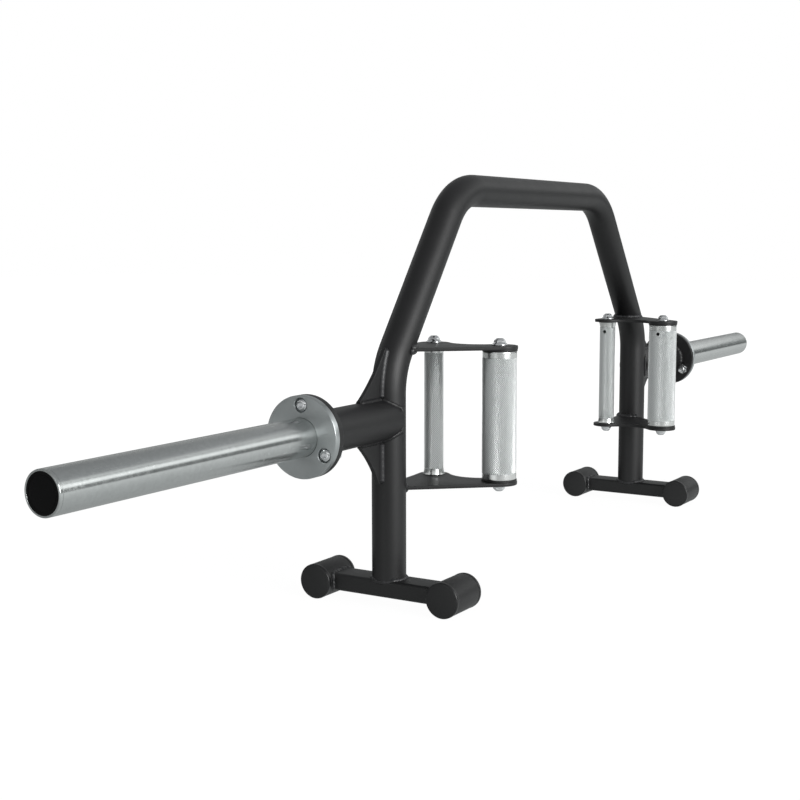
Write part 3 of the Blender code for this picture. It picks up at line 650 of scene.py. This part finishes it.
def weld_bead(kind, where, seam, closed=False):
    """A rippled bead along a seam of (point, outward direction) pairs."""
    name, (width, unevenness, coat) = f"{kind}_weld_{where}", weld_looks[kind]
    line = resampled(seam, ripple_length / ripple_rings, closed)
    rings = []
    for number, (centre, outward, distance) in enumerate(line):
        before = line[number - 1 if number or closed else 0][0]
        after = line[(number + 1) % len(line) if closed else min(number + 1, len(line) - 1)][0]
        running = (after - before).normalized()
        sideways = running.cross(outward).normalized()
        outward = sideways.cross(running)
        ending = 1.0 if closed else min(1.0, bead_start + min(distance, line[-1][2] - distance) / width)
        wander = 1 + unevenness * (slow_wander * sin(distance * slow_pace + len(name))
                                   + fast_wander * sin(distance * fast_pace))
        ring = []
        for angle in around(bead_sides):
            phase = distance / ripple_length + ripple_bow * cos(angle) ** 2
            ripple = 1 - unevenness * ripple_depth * (phase % 1.0) ** ripple_snap
            reach = width * ending * wander * ripple
            ring.append(centre + reach * (cos(angle) * sideways + bead_flatness * sin(angle) * outward))
        rings.append(ring)
    set_out(name, lofted(name, rings, endless=closed), coat)


def on_seam(side, x, y, z, outward):
    """A seam's point on one side of the bar, and the way that its bead faces there."""
    return Vector((side * x, bar_y + y, z)), Vector((side * outward[0], *outward[1:])).normalized()


def stub_seam(side):
    """Round the stub where it meets the leg, and along the leg beside its cut end."""
    seam = []
    for angle in around(144):
        across, up = stub_radius * sin(angle), stub_radius * cos(angle)
        if abs(across) < saddle_half:
            out = sqrt(tube_radius ** 2 - across ** 2)
            outward = out / tube_radius, across / tube_radius + sin(angle), cos(angle)
        else:
            out, way = stub_start, 1 if across > 0 else -1
            across, outward = way * beside_leg, (-0.6, way, 0.25 * cos(angle))
        seam.append(on_seam(side, leg_x + out, across, sleeve_z + up, outward))
    return seam


def gusset_seams(side, vertical, height, face):
    """Along one face of a gusset: down the leg, then out along the stub."""
    y, start_z = face * gusset_thickness / 2, sleeve_z + vertical * stub_radius
    up_leg, out_stub = [], []
    for step in range(13):
        z = start_z + vertical * (leg_bead_margin + (height - 2 * leg_bead_margin) * step / 12)
        centre, lean = leg_at(z)
        up_leg.append(on_seam(side, centre + tube_radius / cos(lean) - seam_inset, y, z,
                              (cos(lean), face, -sin(lean))))
    for step in range(9):
        x = leg_x + tube_radius + stub_bead_margin + (gusset_reach - 2 * stub_bead_margin) * step / 8
        out_stub.append(on_seam(side, x, y, start_z, (0, face, vertical)))
    return up_leg, out_stub


def plate_seam(side, level, face):
    """Round the leg on one face of a grip plate, from the front edge to the rear one."""
    vertical, face_z = plate_faces[level]
    z = face_z + plate_thickness * (vertical > 0) - plate_thickness * (face < 0)
    centre, lean = leg_at(z)
    _, front, rear = plate_plan(leg_at(face_z + vertical * plate_thickness / 2)[0])
    return [on_seam(side, centre - tube_radius / cos(lean) * cos(angle), tube_radius * sin(angle), z,
                    (-cos(angle), sin(angle), face))
            for angle in (front + (rear - front) * step / 48 for step in range(49))]


def leg_seam(side):
    """Round the foot of the leg on its crossbar, dropping beside the crossbar where the leg is the wider."""
    seam, flat = [], crossbar_width / 2 - crossbar_round
    for angle in around(120):
        radial = Vector((cos(angle), sin(angle), 0))
        beyond = max(0.0, abs(radial.x) * tube_radius - flat)
        foot = Vector((side * leg_x, bar_y, leg_foot_z)) + radial * tube_radius
        foot.x -= (1 if radial.x > 0 else -1) * beyond * wide_inset
        foot.z -= beyond * wide_drop
        seam.append((foot, (radial + Vector((0, 0, 1 - beyond * wide_turn))).normalized()))
    return seam


def foot_seam(side, end):
    """Round the end of a crossbar on its foot tube."""
    seam = []
    following = outer_outline[1:] + outer_outline[:1]
    for before, point, after in zip(outer_outline[-1:] + outer_outline, outer_outline, following):
        along = after - before
        reach = sqrt(foot_radius ** 2 - point.y ** 2)
        outward = (Vector((along.y, 0, -along.x)).normalized()
                   + Vector((0, -end * reach, point.y)) / foot_radius)
        seam.append((Vector((side * leg_x + point.x, bar_y + end * (foot_y - reach), foot_z + point.y)),
                     outward.normalized()))
    return seam


def flange_seam(side):
    """Round the stub against the back of its flange."""
    return [on_seam(side, back_x, stub_radius * sin(angle), sleeve_z + stub_radius * cos(angle),
                    (-1, sin(angle), cos(angle)))
            for angle in around(120)]


for side_name, side in sides.items():
    weld_bead("stub", side_name, stub_seam(side), closed=True)
    weld_bead("flange", side_name, flange_seam(side), closed=True)
    weld_bead("leg", side_name, leg_seam(side), closed=True)
    for end_name, end in ends.items():
        weld_bead("foot", f"{side_name}_{end_name}", foot_seam(side, end), closed=True)
    for level, (vertical, height) in gusset_heights.items():
        for face_name, face in ends.items():
            for kind, seam in zip(("gusset_leg", "gusset_stub"), gusset_seams(side, vertical, height, face)):
                weld_bead(kind, f"{side_name}_{level}_{face_name}", seam)
    for level in plate_faces:
        for face_name, face in (("top", 1), ("under", -1)):
            weld_bead("plate", f"{side_name}_{level}_{face_name}", plate_seam(side, level, face))


# Plate sleeves: seamless steel tube, turned smooth and plated, standing in their flanges.
# Turning leaves fine rings round them, and handling leaves faint marks along them.
sleeve_radius, sleeve_wall, sleeve_end, turning_pitch = 0.025, 0.0045, 1.0957, 0.0012


def turned_steel(name, colour, roughness):
    """Plated steel with the fine rings that turning leaves, here across its own Z."""
    steel = Finish(name, Metallic=1.0, Anisotropic=0.8, Anisotropic_Rotation=0.25)
    ringed, drawn_out = (steel.add("Mapping", inputs={"Vector": steel.place, "Scale": scale})
                         for scale in ((0.02, 0.02, 1.0), (1.0, 1.0, 0.05)))
    rings, scuffs = steel.noise(1 / turning_pitch, 2.0, ringed), steel.noise(420, 2.0, drawn_out) > 0.69
    cloud, mottle = steel.noise(26, 3.0), steel.noise(170, 4.0)
    dark, bright = ((*(share * level for level in colour), 1) for share in (0.80, 1.14))
    return steel.finished(
        steel.blend(cloud * 0.4 + mottle * 0.6, dark, bright),
        rings * 0.10 + mottle * 0.10 + scuffs * 0.05 + (roughness - 0.10), rings,
        strength=0.10, depth=0.00005)


sleeve_steel = turned_steel("plated_sleeve_steel", (0.52, 0.54, 0.535), 0.22)
sleeve_length = sleeve_end - joint_x
sleeve_mesh = turned("plate_sleeve", eased(
    (sleeve_radius, 0, 0), (sleeve_radius, sleeve_length, 0.0001),
    (sleeve_radius - sleeve_wall, sleeve_length, 0), (sleeve_radius - sleeve_wall, 0, 0)),
    hollow=True, facets=160)
facing_outward(joint_x, ("turned_sleeve", sleeve_mesh, sleeve_steel, "brushed_steel", "sleeve"))


# Sleeve flanges: bright steel discs on the sleeve roots, faced on a lathe, that stop the plates.
# Three screws are sunk in counterbores, and the sleeve stands in its bore.
head_radius, head_height, counterbore_clearance, counterbore_edge = 0.0083, 0.0052, 0.0013, 0.0005
facing_pitch, face_margin = 0.0006, 0.0002


def about_axis(finish):
    """Distance from the piece's own Z, and height along it."""
    x, y, z = (finish.add("SeparateXYZ", inputs={0: finish.place}, output=axis) for axis in "XYZ")
    return (x ** 2 + y ** 2) ** 0.5, z


def faced_steel(name):
    """Steel faced on a lathe: fine rings round the axis, which fan the light out."""
    steel = Finish(name, Metallic=1.0, Anisotropic=0.8, Anisotropic_Rotation=0.25)
    from_axis, z = about_axis(steel)
    rings = steel.add("Math", {"operation": "SINE"}, {0: from_axis * (2 * pi / facing_pitch)})
    cloud, wobble = steel.noise(60), steel.noise(700, 1.0)
    on_face = z > flange_thickness - face_margin
    return steel.finished(
        steel.blend(cloud, (0.42, 0.445, 0.45, 1), (0.51, 0.535, 0.535, 1)),
        cloud * 0.06 + wobble * 0.05 + 0.30, rings * on_face, strength=0.5, depth=0.00003)


flange_steel = faced_steel("faced_flange_steel")
recess_radius, recess_z = head_radius + counterbore_clearance, flange_thickness - head_height
sleeve_disc = carved(
    flange_disc("sleeve_flange", sleeve_radius + fit / 2, 0.0006, flange_edge),
    *drills([(hole_radius, -drill_reach), (hole_radius, recess_z), (recess_radius, recess_z),
             (recess_radius, flange_thickness - 0.0004),
             (recess_radius + counterbore_edge, flange_thickness + 0.0001),
             (recess_radius + counterbore_edge, drill_reach)], facets=64))
facing_outward(joint_x, ("faced_flange", sleeve_disc, flange_steel, "brushed_steel", "sleeve_flange"))


# Flange screws and nuts: button-head socket screws in bright zinc, with hexagon nuts behind the frame flange.
# The thread shows past each nut.
crown_radius, head_side, dome_sweep, socket_flats, socket_depth = 0.0048, 0.0018, radians(50), 0.006, 0.003
nut_flats, nut_height, end_showing = 0.017, 0.008, 0.004
thread_pitch, thread_depth, thread_inside, screw_middle = 0.0015, 0.0009, 0.002, 0.001
barrel_room, chamfer_reach, chamfer_drop = 1.01, 1.35, 0.55


def bright_zinc(name, roughness):
    """Zinc plating on rolled or headed steel: bright, faintly blotched."""
    zinc = Finish(name, Metallic=1.0)
    blotches, dints = zinc.noise(190, 3.0), zinc.noise(900)
    return zinc.finished(
        zinc.blend(blotches, (0.54, 0.55, 0.56, 1), (0.94, 0.95, 0.96, 1)),
        blotches * 0.12 + (roughness - 0.06), dints, strength=0.12, depth=0.0001)


def hexagon_prism(name, across_flats, base, top):
    """A hexagonal prism about Z, with a corner towards X."""
    corner = across_flats / sqrt(3)
    return lofted(name, [[(corner * cos(pi / 3 * side), corner * sin(pi / 3 * side), height)
                          for side in range(6)] for height in (base, top)])


def hexagonal(name, across_flats, base, top, chamfer, facets=96):
    """A hexagonal piece about Z, chamfered as far as told at its base and its top."""
    corner = across_flats / sqrt(3)
    barrel_radius, lean, profile = corner * barrel_room, (corner - across_flats / 2) * chamfer_reach, []
    for height, inset, inward in ((base, chamfer[0], 1), (top, chamfer[1], -1)):
        corners = [(barrel_radius - lean * inset, height - inward * 0.00001),
                   (barrel_radius, height + inward * lean * inset * chamfer_drop)]
        profile += corners[::inward]
    return carved(hexagon_prism(name, across_flats, base, top), turned("barrel", profile, facets=facets),
                  operation="INTERSECT")


def threaded(radius, start, end):
    """Profile points of a thread's grooves between two heights on a screw."""
    turns = max(1, round(abs(end - start) / thread_pitch))
    step = (end - start) / turns
    groove = (0.06, 0.00005), (0.45, thread_depth), (0.58, thread_depth), (0.94, 0.00005)
    return [(radius - depth, start + turn * step + step * share)
            for turn in range(turns) for share, depth in groove]


zinc = bright_zinc("bright_zinc", 0.12)
head_base = face_x - head_height
nut_face = back_x - fit
nut_back = nut_face - nut_height
screw_tip, thread_start = nut_back - end_showing - head_base, nut_back + thread_inside - head_base
dome = [(head_radius - (head_radius - crown_radius) * (1 - cos(angle)) / (1 - cos(dome_sweep)),
         head_side + (head_height - head_side) * sin(angle) / sin(dome_sweep))
        for angle in (dome_sweep * step / 8 for step in range(9))]
screw_profile = [
    (screw_middle, head_height), *dome[::-1], (head_radius - 0.0002, fit + 0.0002),
    (head_radius - 0.0005, fit), (bolt_radius, fit), (bolt_radius, thread_start),
    *threaded(bolt_radius, thread_start, screw_tip + 0.0006),
    (bolt_radius - 0.0008, screw_tip), (screw_middle, screw_tip)]
key_socket = hexagonal("key_socket", socket_flats, head_height - socket_depth, head_height + 0.002,
                       (0, 0), 32)
socket_mouth = turned("socket_mouth", [
    (socket_flats * 0.5, head_height - 0.0005), (socket_flats * 0.62, head_height + 0.0001),
    (socket_flats * 0.62, head_height + 0.002)], facets=48)
screw_mesh = carved(turned("flange_screw", screw_profile, facets=64), key_socket, socket_mouth)
nut_mouth, nut_thread, nut_lead = bolt_radius + 0.0012, bolt_radius + 0.0001, 0.0009
nut_bore = turned("nut_bore", [
    (nut_mouth, -0.001), (nut_mouth, 0), (nut_thread, nut_lead), (nut_thread, nut_height - nut_lead),
    (nut_mouth, nut_height), (nut_mouth, nut_height + 0.001)], facets=48)
nut_mesh = carved(hexagonal("flange_nut", nut_flats, 0, nut_height, (1, 1)), nut_bore)
for side_name, side in sides.items():
    for number, (up, along) in enumerate(screw_places, start=1):
        for name, mesh, node, x in (("button_screw", screw_mesh, "flange_bolt", head_base),
                                    ("hexagon_nut", nut_mesh, "flange_nut", nut_back)):
            set_out(f"{name}_{side_name}_{number}", mesh, zinc,
                    [f"{node}_{side_name}_{number}"], (side * x, bar_y - along, sleeve_z + up),
                    facing_out[side_name])


# Sleeve caps: moulded plastic discs in rounded steel rims, pushed into the sleeve ends.
# A shallow ring runs round the face, and a long insert holds each cap by friction.
sleeve_cap_radius, sleeve_cap_thickness, sleeve_cap_round, sleeve_cap_insert = 0.025, 0.004, 0.002, 0.015
face_radius, face_drop, ring_radius, ring_width, ring_depth = 0.0226, 0.0003, 0.0190, 0.0005, 0.0003
face_level, face_middle = sleeve_cap_thickness - face_drop, 0.003
cap_bore = sleeve_radius - sleeve_wall - fit
matt_plastic = moulded_plastic("matt_black_plastic", 0.50, 0.10, 0.0022, 0.0036)
ring_floor, cap_edge = face_level - ring_depth, face_radius - fit / 3
sleeve_cap_mesh = turned("sleeve_cap", eased(
    (face_middle, face_level, 0), (ring_radius - ring_width, face_level, 0.0002),
    (ring_radius - ring_width, ring_floor, 0.0001), (ring_radius + ring_width, ring_floor, 0.0001),
    (ring_radius + ring_width, face_level, 0.0002), (cap_edge, face_level, 0.0003), (cap_edge, 0, 0),
    (cap_bore, 0, 0), (cap_bore, -sleeve_cap_insert, 0.001), (face_middle, -sleeve_cap_insert, 0)),
    facets=144)
cap_rim_mesh = turned("sleeve_cap_rim", eased(
    (face_radius, 0, 0), (face_radius, sleeve_cap_thickness, 0.0004),
    (sleeve_cap_radius, sleeve_cap_thickness, sleeve_cap_round), (sleeve_cap_radius, 0, 0)),
    hollow=True, facets=144)
facing_outward(sleeve_end + fit,
               ("moulded_sleeve_cap", sleeve_cap_mesh, matt_plastic, "black_plastic", "sleeve_cap"),
               ("sleeve_cap_rim", cap_rim_mesh, sleeve_steel, "brushed_steel", None))


# Grips: steel tubes rolled with a diamond knurl between plain end rings, in satin chrome.
# Each stands between two plates, and a small vent hole faces the middle of the bar.
thin_radius, thin_flare, thin_step = 0.0145, 0.0015, 0.0003
thick_radius, thick_step = 0.025, 0.0004
grip_ring, ring_seam, grip_edge, grip_wall = 0.0086, 0.00005, 0.0007, 0.0035
vent_radius, vent_drop, vent_reach = 0.0031, 0.018, 0.005
knurl_pitch, knurl_depth, knurl_margin = 0.0016, 0.00100, 0.0002
flare_shares, flare_bend, edge_share = (0.2, 0.4, 0.6, 0.8, 0.97, 1.0), 0.7, 0.3


def satin_chrome(name, radius, length):
    """Chrome over a knurl: bright tips, floors darkened as painted shading, and polished rings at both ends.
    """
    chrome = Finish(name, Metallic=1.0)
    from_axis, z = about_axis(chrome)
    ringed = (z < grip_ring + ring_seam) + (z > length - grip_ring - ring_seam)
    from_floor = (from_axis - (radius - knurl_depth)) / knurl_depth
    cloud, grain, flecks = chrome.noise(45, 3.0), chrome.noise(1300), chrome.noise(430, 1.0)
    # The knurl's floors are painted darker than its tips, as painted shading in its grooves.
    painted_groove_shade = chrome.add("MapRange", {"interpolation_type": "SMOOTHSTEP"}, {
        "Value": from_floor, "From Min": 0.05, "From Max": 0.65})
    tips = chrome.blend(cloud * 0.6 + flecks * 0.4, (0.86, 0.89, 0.88, 1), (1.0, 1.0, 1.0, 1))
    knurled = chrome.blend(painted_groove_shade, (0.62, 0.64, 0.635, 1), tips)
    return chrome.finished(
        chrome.blend(ringed, knurled, (0.70, 0.71, 0.70, 1)),
        cloud * 0.08 + grain * 0.05 + 0.26 - ringed * 0.07, grain, strength=0.10, depth=0.00006)


def knurled_grip(name, radius, ring_radius, end_radius, length):
    """A hollow grip whose knurl is a field of small pyramids between two plain rings."""
    columns = 2 * round(pi * radius / knurl_pitch)
    knurl_start, knurl_end = grip_ring + knurl_margin, length - grip_ring - knurl_margin
    rows = 2 * round((knurl_end - knurl_start) / (2 * knurl_pitch))
    turns = around(columns)

    def circle(size, height):
        return [(size * cos(turn), size * sin(turn), height) for turn in turns]

    plain_end = [(end_radius - grip_edge, 0), (end_radius - grip_edge * edge_share, grip_edge * edge_share),
                 (end_radius, grip_edge)]
    plain_end += [(end_radius + (ring_radius - end_radius) * share ** flare_bend,
                   grip_edge + (grip_ring - grip_edge) * share) for share in flare_shares]
    rings = [circle(size, height) for size, height in plain_end]
    lattice_start = len(rings)
    for row in range(rows + 1):
        height = knurl_start + (knurl_end - knurl_start) * row / rows
        sizes = [radius - knurl_depth * (row in (0, rows) or (row + column) % 2 == 0)
                 for column in range(columns)]
        rings.append([(size * cos(turn), size * sin(turn), height) for turn, size in zip(turns, sizes)])
    lattice_end = len(rings) - 1
    rings += [circle(size, length - height) for size, height in reversed(plain_end)]
    rings += [circle(radius - grip_wall, length), circle(radius - grip_wall, 0)]

    work = bmesh.new()
    rows_of_points = [[work.verts.new(point) for point in ring] for ring in rings]
    for number, (lower, upper) in enumerate(zip(rows_of_points, rows_of_points[1:] + rows_of_points[:1])):
        for column in range(columns):
            after = (column + 1) % columns
            corners = [lower[column], lower[after], upper[after], upper[column]]
            if lattice_start <= number < lattice_end:
                first = (number - lattice_start + column) % 2
                for split in ((0, 1, 2), (0, 2, 3)):
                    work.faces.new([corners[(step + first) % 4] for step in split])
            else:
                work.faces.new(corners).smooth = True
    bmesh.ops.recalc_face_normals(work, faces=work.faces)
    return mesh_of(name, work)


vent_cutter = turned("vent", [(vent_radius, 0), (vent_radius, thick_radius + vent_reach)], facets=32)
grips = {"thin": (bar_y, 0, thin_radius, thin_radius - thin_step, thin_radius + thin_flare),
         "thick": (thick_y, seat_height, thick_radius, thick_radius - thick_step, thick_radius - thick_step)}
for grip_name, (y, seat, radius, ring_radius, end_radius) in grips.items():
    grip_length = plate_spacing - 2 * (seat + fit)
    chrome = satin_chrome(f"satin_chrome_{grip_name}", radius, grip_length)
    knurled_mesh = knurled_grip(f"{grip_name}_grip", radius, ring_radius, end_radius, grip_length)
    for side_name, side in sides.items():
        vent = placed(vent_cutter, (0, 0, plate_spacing - vent_drop - seat - fit), (0, -side * pi / 2, 0))
        set_out(f"knurled_{grip_name}_grip_{side_name}", carved(knurled_mesh.copy(), vent), chrome,
                [f"{grip_name}_grip_{side_name}"],
                (side * grip_x, y, plate_faces["lower"][1] + seat + fit))


# Grip bolts: flanged hexagon bolts in bright zinc, one through each plate into the end of a grip.
# Their flanges cover the holes in the plates.
bolt_flange_radius, bolt_flange_height, bolt_rim, bolt_grip = 0.0114, 0.0040, 0.0014, 0.010
bolt_flats, bolt_head, bolt_top_radius, bolt_chamfer, skirt_top = 0.015, 0.0100, 0.0048, 0.0038, 0.0056
bolt_corner, barrel_base = bolt_flats / sqrt(3), bolt_rim - 0.001
for grip_name, (y, seat, *_) in grips.items():
    shank = plate_thickness + seat + bolt_grip
    skirt = turned("bolt_skirt", eased(
        (screw_middle, skirt_top, 0), (bolt_flats * 0.49, skirt_top, 0),
        (bolt_corner * 0.98, bolt_flange_height, 0.0008),
        (bolt_flange_radius, bolt_rim, 0.0004), (bolt_flange_radius, 0, 0.0003), (bolt_radius, 0, 0),
        (bolt_radius, -shank, 0.0008), (screw_middle, -shank, 0)), facets=72)
    barrel = turned("bolt_barrel", eased(
        (screw_middle, bolt_head, 0), (bolt_top_radius, bolt_head, 0.0012),
        (bolt_corner, bolt_head - bolt_chamfer, 0.0012),
        (bolt_corner * 1.02, barrel_base, 0), (screw_middle, barrel_base, 0)), facets=72)
    prism = hexagon_prism("bolt_hexagon", bolt_flats, bolt_rim, bolt_head)
    bolt_mesh = carved(skirt, carved(prism, barrel, operation="INTERSECT"), operation="UNION")
    bolt_mesh.name = f"{grip_name}_grip_bolt"
    for side_name, side in sides.items():
        for level, (vertical, face_z) in plate_faces.items():
            set_out(f"flanged_{grip_name}_bolt_{side_name}_{level}", bolt_mesh, zinc,
                    [f"{grip_name}_grip_bolt_{side_name}_{level}"],
                    (side * grip_x, y, face_z + vertical * (plate_thickness + fit)),
                    (0 if vertical > 0 else pi, 0, 0))
